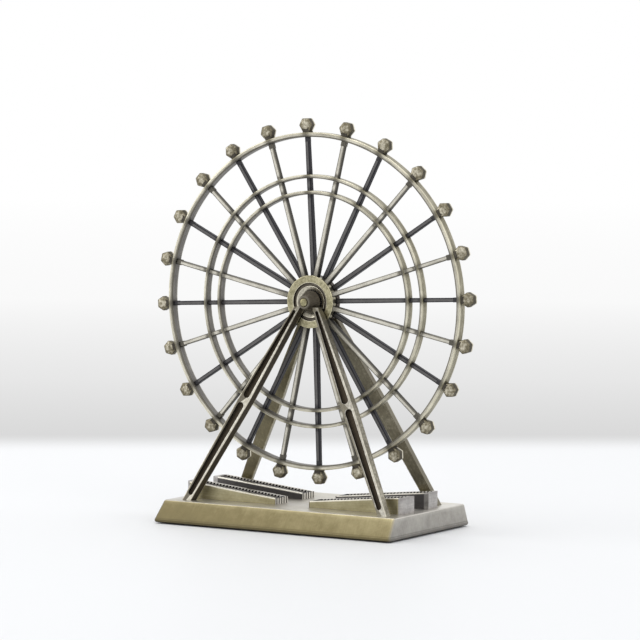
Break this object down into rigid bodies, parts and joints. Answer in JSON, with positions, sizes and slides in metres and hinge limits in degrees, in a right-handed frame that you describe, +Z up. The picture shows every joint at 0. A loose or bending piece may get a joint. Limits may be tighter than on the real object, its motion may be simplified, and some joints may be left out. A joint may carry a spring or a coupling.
{
  "type": "ferris wheel model",
  "caption": "Desk model of a ferris wheel in antique bronze: a wheel with hexagonal cabins turns on an axle between two A-shaped frames on a sloped plinth with boarding ramps.",
  "frame": {"origin": "middle of the footprint, on the surface that the model stands on", "axes": "+Z up, +X along the plinth to the right as seen from the front, +Y along the axle to the rear"},
  "size_m": [0.1346, 0.06, 0.1499],
  "materials": {
    "antique_bronze": "cast, antique patina with brushed edges",
    "dark_bronze": "cast, dark antique patina",
    "grey_bronze": "cast, grey antique patina",
    "bright_brass": "polished",
    "felt": "black felt"
  },
  "bodies": {
    "stand": {"base_casting": "antique_bronze", "base_pad": "felt", "ramp_front_left": "antique_bronze", "ramp_front_right": "antique_bronze", "ramp_rear_left": "antique_bronze", "ramp_rear_right": "antique_bronze", "front_frame": "antique_bronze", "rear_frame": "antique_bronze", "axle_pin": "bright_brass", "front_washer": "dark_bronze", "rear_washer": "dark_bronze"},
    "wheel": {"hub_barrel": "bright_brass", "front_flange": "bright_brass", "rear_flange": "bright_brass", "inner_ring": "antique_bronze", "middle_ring": "antique_bronze", "outer_rim": "antique_bronze", "front_spokes": "antique_bronze", "rear_spokes": "dark_bronze", "capsule_01": "grey_bronze", "capsule_02": "grey_bronze", "capsule_03": "grey_bronze", "capsule_04": "grey_bronze", "capsule_05": "grey_bronze", "capsule_06": "grey_bronze", "capsule_07": "grey_bronze", "capsule_08": "grey_bronze", "capsule_09": "grey_bronze", "capsule_10": "grey_bronze", "capsule_11": "grey_bronze", "capsule_12": "grey_bronze", "capsule_13": "grey_bronze", "capsule_14": "grey_bronze", "capsule_15": "grey_bronze", "capsule_16": "grey_bronze", "capsule_17": "grey_bronze", "capsule_18": "grey_bronze", "capsule_19": "grey_bronze", "capsule_20": "grey_bronze", "capsule_21": "grey_bronze", "capsule_22": "grey_bronze", "capsule_23": "grey_bronze", "capsule_24": "grey_bronze"}
  },
  "joints": [
    {"name": "wheel_spin", "type": "hinge", "parent": "stand", "child": "wheel", "pos_m": [0, 0, 0.0826], "axis": [0, 1, 0], "continuous": true}
  ]
}
